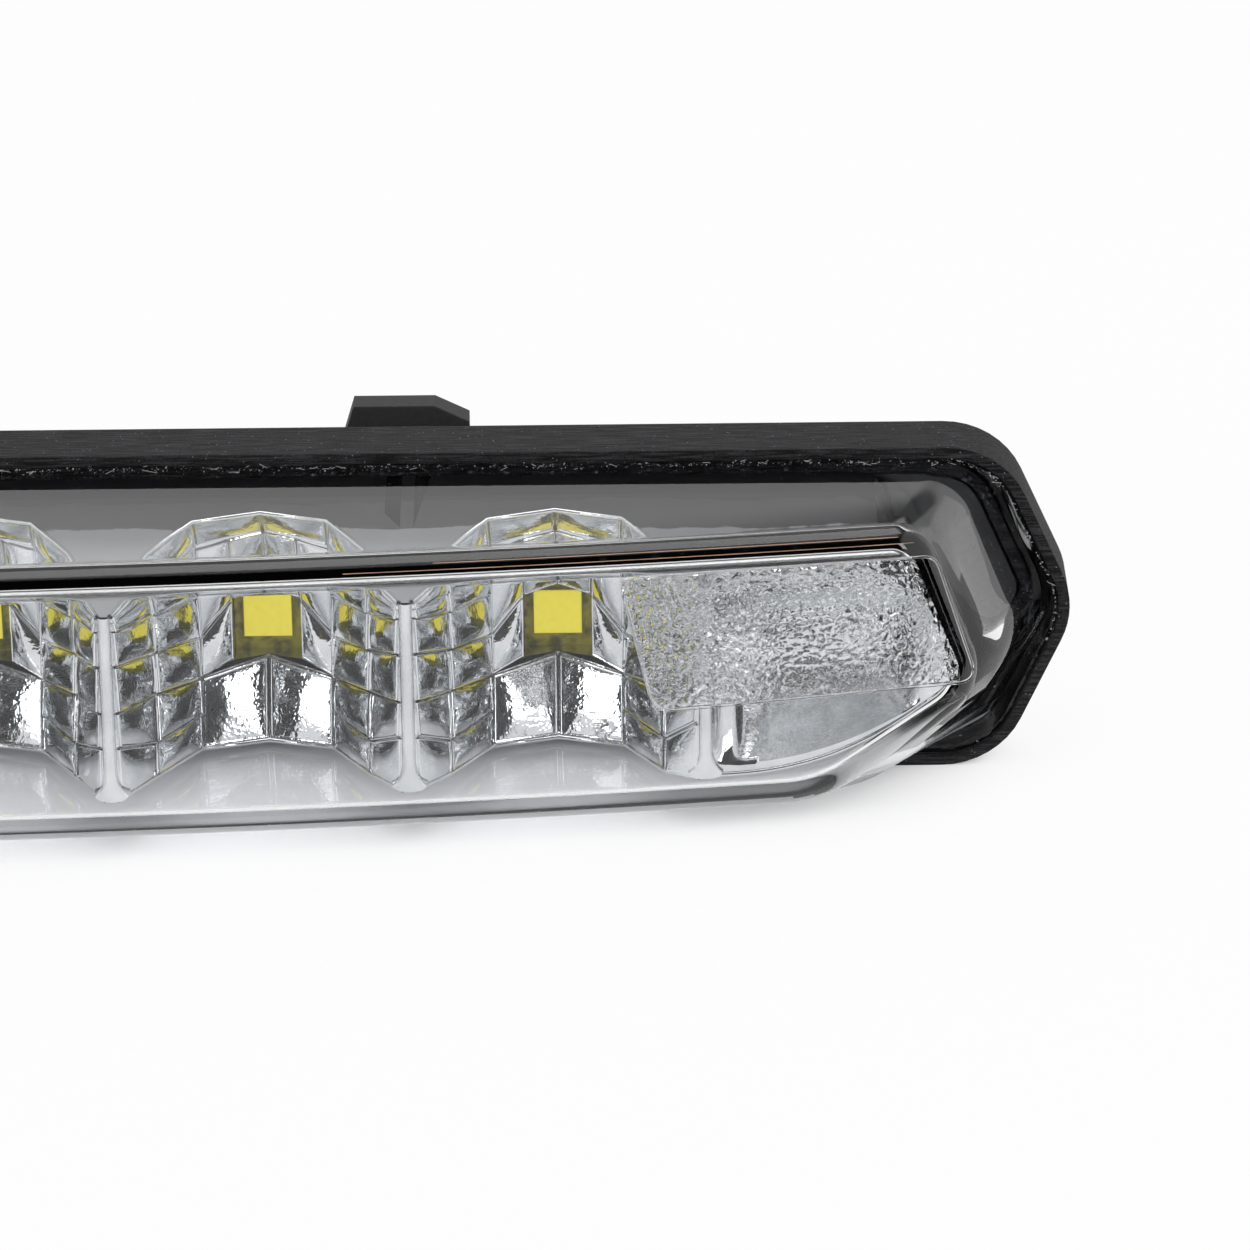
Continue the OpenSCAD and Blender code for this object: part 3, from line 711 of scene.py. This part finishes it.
def buildRidges(vertices, faces):
    arcs, half, openAngle = 10, reflector["ridgeWidth"] / 2, math.radians(reflector["ridgeOpen"])
    bulge = half / math.sin(openAngle)
    for number in range(lamp["ledCount"] + 1):
        x = (number - lamp["ledCount"] / 2) * lamp["ledPitch"]
        depth = ridgeDepth(x)
        height = halfHeight(depth)
        start = len(vertices)
        for row in ridgeRows:
            z = mix(-height, height, row)
            flare = reflector["footFlare"] * max(1 - (z + height) / reflector["footRise"], 0) ** 2
            width, lift = half + flare, reflector["footLift"] * flare
            back = depth - reflector["ridgeSkirt"] - reflector["footSlope"] * flare
            vertices.append(Vector((x - width, back, z + lift)))
            for j in range(arcs + 1):
                angle = mix(-openAngle, openAngle, j / arcs)
                place = math.sin(angle) / math.sin(openAngle)
                front = depth + bulge * (math.cos(angle) - reflector["ridgeSink"])
                vertices.append(Vector((x + width * place, front, z + lift * place ** 4)))
            vertices.append(Vector((x + width, back, z + lift)))
        addGrid(faces, start, len(ridgeRows) - 1, arcs + 2)
        faces.append(tuple(range(start, start + arcs + 3)))
        for sign in (-1, 1):
            left, right = Vector((x - half, depth, sign * height)), Vector((x + half, depth, sign * height))
            far = sign * reflector["backHalf"]
            addWall(vertices, faces, left, right, far, far)


def smoothTable(knots, place):
    for (x0, y0), (x1, y1) in zip(knots, knots[1:]):
        if place <= x1:
            share = (place - x0) / (x1 - x0)
            return mix(y0, y1, share * share * (3 - 2 * share))
    return knots[-1][1]


def buildTrough(vertices, faces, side):
    # the end section: a smooth trough with a flat bezel round it
    first, length, steps = trough["start"], trough["length"], trough["steps"]
    span = length + trough["bezel"]
    knots = trough["profile"] + [(length, 1), (span, 1)]
    fullAt, steepness = trough["sideWall"]

    def taper(t, begin, share, power):
        return 0 if t < begin else share * reflector["backHalf"] * ((t - begin) / (span - begin)) ** power

    start = len(vertices)
    for t in [first + (span - first) * k / steps for k in range(steps + 1)]:
        x = lastRidge + t
        top = ridgeDepth(x) - trough["rimGap"]
        low, high = taper(t, *trough["lowTaper"]), taper(t, *trough["highTaper"])
        for share in [-1 + k / (steps / 2) for k in range(steps + 1)]:
            rise = min(abs(share) / fullAt, 1) ** steepness
            depth = mix(trough["floor"], top, 1 - (1 - smoothTable(knots, t)) * (1 - rise))
            z = share * (halfHeight(top) - (low if share < 0 else high))
            vertices.append(Vector((side * x, depth, z)))
    addGrid(faces, start, steps, steps)
    for j, sign in ((0, -1), (steps, 1)):
        rim = [vertices[start + i * (steps + 1) + j] for i in range(steps + 1)]
        rolledEdge(vertices, faces, rim[::2], reflector["bead"] * 0.8)
        for a, b in zip(rim, rim[1:]):
            farA, farB = [math.copysign(abs(p.z) + reflector["draft"] * p.y, sign) for p in (a, b)]
            addWall(vertices, faces, a, b, farA, farB)
    tip = [vertices[start + steps * (steps + 1) + j] for j in range(steps + 1)]
    for a, b in zip(tip, tip[1:]):
        addWall(vertices, faces, a, b, a.z, b.z)


def metallisedMaterial():
    # a bright mirror whose reflections are slightly bent and grainy
    material, tree = startMaterial("ABS, vacuum metallised")
    place = addNode(tree, "TexCoord").outputs["Object"]
    # slight waves of the moulding, a few millimetres across, and a fine orange peel on top
    waves = addNode(tree, "TexNoise", {}, {
        "Vector": place, "Scale": 1 / (reflector["wave"] * mm), "Detail": 1.0, "Roughness": 0.5})
    peel = addNode(tree, "TexNoise", {}, {"Vector": place, "Scale": 1 / (reflector["peel"] * mm), "Detail": 2.0})
    height = addNode(tree, "Math", {"operation": "MULTIPLY_ADD"}, {0: peel, 1: 0.2, 2: waves})
    bump = addNode(tree, "Bump", {}, {"Height": height, "Distance": reflector["waveDepth"] * mm})
    tone = addNode(tree, "ValToRGB", {}, {"Fac": waves}, [
        (0.3, hexColour(reflector["metalDark"])), (0.7, hexColour(reflector["metal"]))])
    mirror = addNode(tree, "BsdfPrincipled", {}, {
        "Base Color": tone, "Metallic": 1.0, "Roughness": reflector["roughness"], "Normal": bump})
    # painted shade: the back of the top wall is near black, for the housing rim's shadow and reflection, and gives
    # way to the satin coat forward with a ragged edge
    split = addNode(tree, "SeparateXYZ", {}, {0: place})
    geometry = addNode(tree, "NewGeometry")
    facing = addNode(tree, "SeparateXYZ", {}, {0: geometry.outputs["Normal"]})
    level = addNode(tree, "Math", {"operation": "GREATER_THAN"}, {0: facing.outputs["Z"], 1: 0.93})
    upper = addNode(tree, "Math", {"operation": "GREATER_THAN"}, {0: split.outputs["Z"], 1: toWorld(0, 0, 4).z})
    onTop = addNode(tree, "Math", {"operation": "MULTIPLY"}, {0: level, 1: upper})
    span = reflector["paintedShadeSpan"]
    forward = addNode(tree, "MapRange", {}, {
        "Value": split.outputs["Y"], "From Min": toWorld(0, 0, 0).y, "From Max": toWorld(0, span, 0).y})
    along = addNode(tree, "Mapping", {}, {"Vector": place, "Scale": (0.4, 1, 1)})
    frayed = addNode(tree, "TexNoise", {}, {
        "Vector": along, "Scale": 1 / (reflector["paintedShadeFray"] * mm), "Detail": 5.0, "Roughness": 0.6})
    where = addNode(tree, "Math", {"operation": "MULTIPLY_ADD"}, {0: frayed, 1: 0.3, 2: forward})
    # the noise adds about 0.15, so both edges are set off by that
    thin, full = (edge / span for edge in reflector["paintedShadeEdges"])
    coat = addNode(tree, "ValToRGB", {}, {"Fac": where}, [
        (thin + 0.13, grey(0.03)), (thin + 0.16, grey(0.12)), (full + 0.145, grey(0.16)), (full + 0.16, grey(1.0))])
    paintedShade = addNode(tree, "BsdfPrincipled", {}, {
        "Base Color": hexColour(reflector["paintedShadeTone"]), "Roughness": 0.5, "Specular IOR Level": 0.3})
    satin = addNode(tree, "BsdfPrincipled", {}, {
        "Base Color": hexColour(reflector["metal"]), "Metallic": 1.0, "Roughness": reflector["satin"]})
    patchy = addNode(tree, "MixShader", {}, {0: coat, 1: paintedShade, 2: satin})
    both = addNode(tree, "MixShader", {}, {0: onTop, 1: mirror, 2: patchy})
    addNode(tree, "OutputMaterial", {}, {"Surface": both})
    return material


vertices, faces = [], []
buildCells(vertices, faces)
buildRidges(vertices, faces)
for side in (-1, 1):
    buildTrough(vertices, faces, side)
facets = makePiece("reflector_facets", [toWorld(v.x, v.y, v.z - lamp["ledDrop"]) for v in vertices], faces,
                   metallisedMaterial(), crease=60)
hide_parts("reflector")
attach(facets, "root")
print("reflector metallised")


# Grained pad: an etched field on the lens's right end with a bead round it
pad = {
    "corners": [(74.3, 8.05, 1.4), (95.5, 8.3, 1.2), (98.5, -1.2, 1.1), (76.6, -1.95, 1.8)],  # x, z, corner radius
    "cornerSteps": 8,
    "cornerBlend": 0.8,
    "edgeFade": 0.15,
    "bead": 0.1,
    "beadGap": 0.012,
    "grain": 0.52,  # mm across one wrinkle
    "depth": 0.3,
    "from": 60,  # x where the lens's outer front takes the grained material
}


def padOutline():
    points = []
    corners, steps = pad["corners"], pad["cornerSteps"]
    for k, (x, z, radius) in enumerate(corners):
        before, after = corners[k - 1], corners[(k + 1) % len(corners)]
        here = Vector((x, z))
        back, on = (Vector(before[:2]) - here).normalized(), (Vector(after[:2]) - here).normalized()
        bend = math.acos(max(-1, min(1, back.dot(on))))
        reach = radius / math.tan(bend / 2)
        start, end = here + back * reach, here + on * reach
        for j in range(steps + 1):
            t = j / steps
            points.append(start * (1 - t) ** 2 + here * 2 * t * (1 - t) + end * t ** 2)
    return points


def padMask(tree, place):
    # distance inside the four sides, the smallest of them counts
    inside = None
    corners = pad["corners"]
    for here, after in zip(corners, corners[1:] + corners[:1]):
        a, b = toWorld(here[0], 0, here[1]), toWorld(after[0], 0, after[1])
        inward = Vector((b.z - a.z, 0, a.x - b.x)).normalized()
        along = addNode(tree, "VectorMath", {"operation": "DOT_PRODUCT"}, {0: place, 1: tuple(inward)})
        depth = addNode(tree, "Math", {"operation": "SUBTRACT"}, {
            0: along.outputs["Value"], 1: inward.x * a.x + inward.z * a.z})
        if inside:
            depth = addNode(tree, "Math", {"operation": "SMOOTH_MIN"}, {
                0: inside, 1: depth, 2: pad["cornerBlend"] * mm})
        inside = depth
    return addNode(tree, "MapRange", {}, {"Value": inside, "From Min": 0.0, "From Max": pad["edgeFade"] * mm})


def leatherGrain(tree):
    # wrinkles that break what lies behind into bright and dark crumbs
    place = addNode(tree, "TexCoord").outputs["Object"]
    scale = 1 / (pad["grain"] * mm)
    bend = addNode(tree, "TexNoise", {}, {"Vector": place, "Scale": scale, "Detail": 1.0, "Distortion": 0.8})
    fine = addNode(tree, "TexVoronoi", {"feature": "SMOOTH_F1"}, {
        "Vector": place, "Scale": scale, "Smoothness": 0.5})
    both = addNode(tree, "Math", {"operation": "MULTIPLY_ADD"}, {0: fine, 1: 1.1, 2: bend})
    height = addNode(tree, "Math", {"operation": "MULTIPLY"}, {0: both, 1: padMask(tree, place)})
    return addNode(tree, "Bump", {}, {"Height": height, "Distance": pad["depth"] * mm})


lensPiece.data.materials.append(clearMaterial(
    "clear polycarbonate, leather grain etched in the mould", bumpHeight=leatherGrain))
for face in lensPiece.data.polygons:
    x, forward = face.center.x / mm, (ledPlane - face.center.y) / mm
    if face.normal.y < -0.9 and x > pad["from"] and forward > sweep(x) - 0.4:
        face.material_index = 2
vertices, faces = [], []
outline = padOutline()
rolledEdge(vertices, faces, [
    Vector((p.x, sweep(p.x) + pad["bead"] + pad["beadGap"], p.y)) for p in outline + outline[:1]], pad["bead"])
padBead = makePiece("pad_bead", [toWorld(*v) for v in vertices], faces, clearPlastic, crease=None)
padBead.data.polygons.foreach_set("use_smooth", [True] * len(padBead.data.polygons))
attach(padBead, "root")
print("pad grained")


# Silicone: an amber fillet runs from each diode to the board
fillet = {
    "inner": (1.66, -1.66, 1.66),  # half width, bottom and top round the diode's middle
    "outer": (2.32, -2.9, 2.05),
    "depths": (-0.12, -0.62),
    "steps": 5,
    "tone": "#A39A2C",
    "toneDark": "#5E5A1C",
    "cloud": 1.1,  # mm across one cloud
    # painted glow: the silicone gives out light of its own colour
    "glow": 0.12,
}


def buildFillets():
    vertices, faces = [], []
    steps = fillet["steps"]
    for number in range(lamp["ledCount"]):
        centre = (number - (lamp["ledCount"] - 1) / 2) * lamp["ledPitch"]
        start = len(vertices)
        for k in range(steps + 1):
            share = k / steps
            wide, low, high = (mix(a, b, share) for a, b in zip(fillet["inner"], fillet["outer"]))
            depth = mix(*fillet["depths"], 1 - (1 - share) ** 2)
            for x, z in ((-wide, low), (wide, low), (wide, high), (-wide, high)):
                vertices.append(toWorld(centre + x, depth, z - lamp["ledDrop"]))
        for k in range(steps):
            for j in range(4):
                a, b = start + k * 4 + j, start + k * 4 + (j + 1) % 4
                faces.append((a, b, b + 4, a + 4))
    return vertices, faces


def filletMaterial():
    # cloudy amber with a painted glow: it gives out a little light of its own colour
    material, tree = startMaterial("amber silicone, cast round the diode")
    place = addNode(tree, "TexCoord").outputs["Object"]
    cloud = addNode(tree, "TexNoise", {}, {"Vector": place, "Scale": 1 / (fillet["cloud"] * mm), "Detail": 2.0})
    colour = addNode(tree, "ValToRGB", {}, {"Fac": cloud}, [
        (0.35, hexColour(fillet["toneDark"])), (0.62, hexColour(fillet["tone"]))])
    # the emission is a painted glow
    shader = addNode(tree, "BsdfPrincipled", {}, {
        "Base Color": colour, "Roughness": 0.25, "IOR": 1.41,
        "Emission Color": colour, "Emission Strength": fillet["glow"]})
    addNode(tree, "OutputMaterial", {}, {"Surface": shader})
    return material


vertices, faces = buildFillets()
fillets = makePiece("diode_fillets", vertices, faces, filletMaterial(), crease=60)
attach(fillets, "root")
print("diodes bedded")


# Sealant: black glue squeezed into the groove, with pale specks in patches
sealant = {
    "tone": "#0D0D0F",
    "speckTone": "#B9BCC2",
    "speckSpacing": 0.9,
    "speckSize": 0.13,  # of the spacing
    "lump": 1.6,
    "lumpDepth": 0.3,
    "roughness": 0.22,
}


def glueMaterial():
    # glossy black lumps
    material, tree = startMaterial("black polyurethane sealant, cured in the groove")
    place = addNode(tree, "TexCoord").outputs["Object"]
    specks = addNode(tree, "TexVoronoi", {"feature": "F1"}, {
        "Vector": place, "Scale": 1 / (sealant["speckSpacing"] * mm)})
    lumps = addNode(tree, "TexNoise", {}, {"Vector": place, "Scale": 1 / (sealant["lump"] * mm), "Detail": 3.0})
    dots = addNode(tree, "Math", {"operation": "LESS_THAN"}, {0: specks, 1: sealant["speckSize"]})
    patchy = addNode(tree, "Math", {"operation": "GREATER_THAN"}, {0: lumps, 1: 0.52})
    both = addNode(tree, "Math", {"operation": "MULTIPLY"}, {0: dots, 1: patchy})
    colour = addNode(tree, "ValToRGB", {}, {"Fac": both}, [
        (0, hexColour(sealant["tone"])), (1, hexColour(sealant["speckTone"]))])
    bump = addNode(tree, "Bump", {}, {"Height": lumps, "Distance": sealant["lumpDepth"] * mm})
    shader = addNode(tree, "BsdfPrincipled", {}, {
        "Base Color": colour, "Roughness": sealant["roughness"], "Normal": bump})
    addNode(tree, "OutputMaterial", {}, {"Surface": shader})
    return material


useMaterial("lens_sealant", glueMaterial())


# Bubbles and dust: air caught under the lens's edge, and lint along the seam
seam = {
    "bubbles": 210,
    "bubbleSize": (0.1, 0.3),
    "bubbleDepth": (0.2, 1.5),
    "specks": 1500,
    "speckSize": (0.018, 0.055),
    "fibres": 260,
    "fibreLength": (0.15, 0.75),
    "fibreThickness": 0.02,
    "fibreTurn": 0.6,
    "spread": 0.12,
    "lowest": -3.0,
    "paintedGlintLines": [(9.4, 0.8, 62, 93), (8.85, 0.95, 56, 94)],  # painted copper glints: z, how far behind the front, from x to x
    "paintedGlintThickness": 0.026,
    "cloud": 3,  # mm across one cloud of tone
    "seed": 11,
    # what it is, colour, roughness, metallic
    "paintedGlint": ("painted copper glints inside the lens's upper front edge", "#E8B79C", 0.3, 0.6),  # thin painted copper glint
    "bubble": ("air bubbles in the sealant, mirror-like skin", "#6B6E73", 0.12, 0.8),  # tiny bright rims
    "lint": ("lint and dust on the seam", "#C9CACD", 0.9, 0.0),  # dull pale specks
}


def seamPoints(inward, share=0.0):
    ring = halfRing(cornersAt(share, inward))
    ring = [(-x, z) for x, z in reversed(ring[1:])] + ring
    # the upper side only, left to right, stopping below each tip
    return [p for p in ring if p[1] > seam["lowest"]]


def alongSeam(points, place):
    lengths = [math.dist(a, b) for a, b in zip(points, points[1:])]
    want = place * sum(lengths)
    for (a, b), length in zip(zip(points, points[1:]), lengths):
        if want <= length and length > 0:
            t = want / length
            return mix(a[0], b[0], t), mix(a[1], b[1], t)
        want -= length
    return points[-1]


def addBall(vertices, faces, centre, radius):
    start = len(vertices)
    rings, sides = 5, 8
    for i in range(1, rings):
        tall = math.pi * i / rings
        for j in range(sides):
            turn = 2 * math.pi * j / sides
            vertices.append(centre + Vector((math.sin(tall) * math.cos(turn), math.cos(tall),
                                             math.sin(tall) * math.sin(turn))) * radius)
    for i in range(rings - 2):
        for j in range(sides):
            a, b = start + i * sides + j, start + i * sides + (j + 1) % sides
            faces.append((a, b, b + sides, a + sides))
    near, far = len(vertices), len(vertices) + 1
    vertices += [centre + Vector((0, radius, 0)), centre - Vector((0, radius, 0))]
    last = start + (rings - 2) * sides
    for j in range(sides):
        k = (j + 1) % sides
        faces.append((start + j, near, start + k))
        faces.append((last + k, far, last + j))


def addFibre(vertices, faces, centre, along, thick):
    start = len(vertices)
    up = Vector((0, 0, 1)) if abs(along.normalized().z) < 0.8 else Vector((1, 0, 0))
    side = along.cross(up).normalized() * thick
    other = along.cross(side).normalized() * thick
    for end in (-0.5, 0.5):
        for turn in range(3):
            angle = 2 * math.pi * turn / 3
            vertices.append(centre + along * end + side * math.cos(angle) + other * math.sin(angle))
    faces += [(start, start + 1, start + 2), (start + 3, start + 5, start + 4)]
    for k in range(3):
        j = (k + 1) % 3
        faces.append((start + k, start + 3 + k, start + 3 + j, start + j))


def buildSeam():
    chance = random.Random(seam["seed"])
    bubbles, dust = ([], []), ([], [])
    inside = seamPoints(lens["wall"] - 0.05, 0.1)
    for _ in range(seam["bubbles"]):
        # most of them sit in the right-hand half and its corner
        place = 1 - chance.random() ** 1.7 * 0.75
        x, z = alongSeam(inside, place)
        radius = mix(*seam["bubbleSize"], chance.random() ** 2)
        addBall(*bubbles, toWorld(x, chance.uniform(*seam["bubbleDepth"]), z), radius * mm)
    outside = seamPoints(-0.12)
    rimFront = (ledPlane - housingBox[0][1]) / mm
    for k in range(seam["specks"] + seam["fibres"]):
        place = chance.random() ** 1.15
        x, z = alongSeam(outside, place)
        off = chance.gauss(0, seam["spread"])
        centre = toWorld(x, rimFront + 0.05 + abs(off) * 0.3, z + off)
        if k < seam["specks"]:
            addBall(*dust, centre, mix(*seam["speckSize"], chance.random() ** 3) * mm)
        else:
            turn = chance.uniform(-seam["fibreTurn"], seam["fibreTurn"])
            length = mix(*seam["fibreLength"], chance.random() ** 2) * mm
            addFibre(*dust, centre, Vector((math.cos(turn), 0, math.sin(turn))) * length,
                     seam["fibreThickness"] * mm)
    return bubbles, dust


def seamMaterial(key):
    name, colourCode, roughness, metallic = seam[key]
    material, tree = startMaterial(name)
    place = addNode(tree, "TexCoord").outputs["Object"]
    cloud = addNode(tree, "TexNoise", {}, {"Vector": place, "Scale": 1 / (seam["cloud"] * mm)})
    base = hexColour(colourCode)
    colour = addNode(tree, "ValToRGB", {}, {"Fac": cloud}, [(0.3, tuple(c * 0.6 for c in base[:3])), (0.7, base)])
    shader = addNode(tree, "BsdfPrincipled", {}, {
        "Base Color": colour, "Roughness": roughness, "Metallic": metallic})
    addNode(tree, "OutputMaterial", {}, {"Surface": shader})
    return material


def buildPaintedGlintLines():
    # two fine copper-coloured lines inside the upper front edge, painted glints
    vertices, faces = [], []
    steps = 48
    for z, behind, start, end in seam["paintedGlintLines"]:
        for k in range(steps):
            ends = (mix(start, end, k / steps), mix(start, end, (k + 1) / steps))
            a, b = (toWorld(x, sweep(x) - behind, z) for x in ends)
            addFibre(vertices, faces, (a + b) / 2, b - a, seam["paintedGlintThickness"] * mm)
    return vertices, faces


bubbleMesh, dustMesh = buildSeam()
paintedGlintLines = makePiece("painted_glint_lines", *buildPaintedGlintLines(), seamMaterial("paintedGlint"), crease=None)
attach(paintedGlintLines, "root")
bubbles = makePiece("glue_bubbles", *bubbleMesh, seamMaterial("bubble"))
lint = makePiece("seam_dust", *dustMesh, seamMaterial("lint"), crease=None)
for piece in (bubbles, lint):
    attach(piece, "root")
print("seam dusted")


# Plain finishes for the pieces inside and behind
plainFinishes = {
    "grain": 0.5,  # mm, coarser than the real surfaces so that it shows
    "grainDepth": 0.03,
    "shade": 0.82,
    "edgeRound": 0.2,
    "phosphorPaintedGlow": 0.45,  # painted glow: it gives out light of its own colour, standing in for its slight fluorescence in daylight
    # what it is, colour, roughness, metallic
    "led_board": ("aluminium board, black solder mask", "#26272A", 0.45, 0.0),  # dark with a flat sheen
    "thermal_pad": ("silicone heat pad, rolled sheet", "#7E8B9A", 0.8, 0.0),  # dull grey-blue
    "cable_grommet": ("EPDM rubber, moulded", "#17171A", 0.7, 0.0),  # dull black
    "vent_plug": ("polyamide, moulded", "#232326", 0.5, 0.0),  # dark with a soft sheen
    "bracket": ("steel strip, black electro-dip coat", "#39393B", 0.75, 0.0),  # even and dull
    "zinc": ("steel, bright zinc plate", "#B9BDC2", 0.3, 1.0),  # silvery with blurred reflections
    "chip": ("epoxy chip package, moulded", "#242528", 0.5, 0.0),  # dark, slightly satin
    "ceramic": ("amber silicone round the diode, cast", "#8F8A35", 0.4, 0.0),  # smooth dark amber
    "phosphor": ("yellow phosphor in silicone, cast", "#F2E244", 0.45, 0.0),  # bright even yellow
}


def plainMaterial(key, glow=0.0):
    name, colourCode, roughness, metallic = plainFinishes[key]
    material, tree = startMaterial(name)
    place = addNode(tree, "TexCoord").outputs["Object"]
    grain = addNode(tree, "TexNoise", {}, {
        "Vector": place, "Scale": 1 / (plainFinishes["grain"] * mm), "Detail": 3.0})
    base = hexColour(colourCode)
    dark = tuple(c * plainFinishes["shade"] for c in base[:3])
    colour = addNode(tree, "ValToRGB", {}, {"Fac": grain}, [(0.3, dark), (0.65, base)])
    edge = addNode(tree, "Bevel", {"samples": 4}, {"Radius": plainFinishes["edgeRound"] * mm})
    bump = addNode(tree, "Bump", {}, {
        "Height": grain, "Distance": plainFinishes["grainDepth"] * mm, "Normal": edge})
    shader = addNode(tree, "BsdfPrincipled", {}, {
        "Base Color": colour, "Roughness": roughness, "Metallic": metallic, "Normal": bump})
    # painted glow: the piece gives out light of its own colour
    if glow:
        shader.inputs["Emission Color"].default_value = base
        shader.inputs["Emission Strength"].default_value = glow
    addNode(tree, "OutputMaterial", {}, {"Surface": shader})
    return material


for node in ("led_board", "thermal_pad", "cable_grommet", "vent_plug"):
    useMaterial(node, plainMaterial(node))
groups = {
    "bracket": ("bracket_left", "bracket_right"),
    "zinc": ("bracket_screws", "bracket_washers", "board_screws"),
    "chip": ("driver_ic", "protection_diode", "input_capacitor", "current_resistors"),
    "ceramic": [f"led_{k}" for k in range(1, lamp["ledCount"] + 1)],
    "phosphor": [f"phosphor_{k}" for k in range(1, lamp["ledCount"] + 1)],
}
for key, nodes in groups.items():
    material = plainMaterial(key, glow=plainFinishes["phosphorPaintedGlow"] if key == "phosphor" else 0.0)
    for node in nodes:
        useMaterial(node, material)
print("small pieces finished")
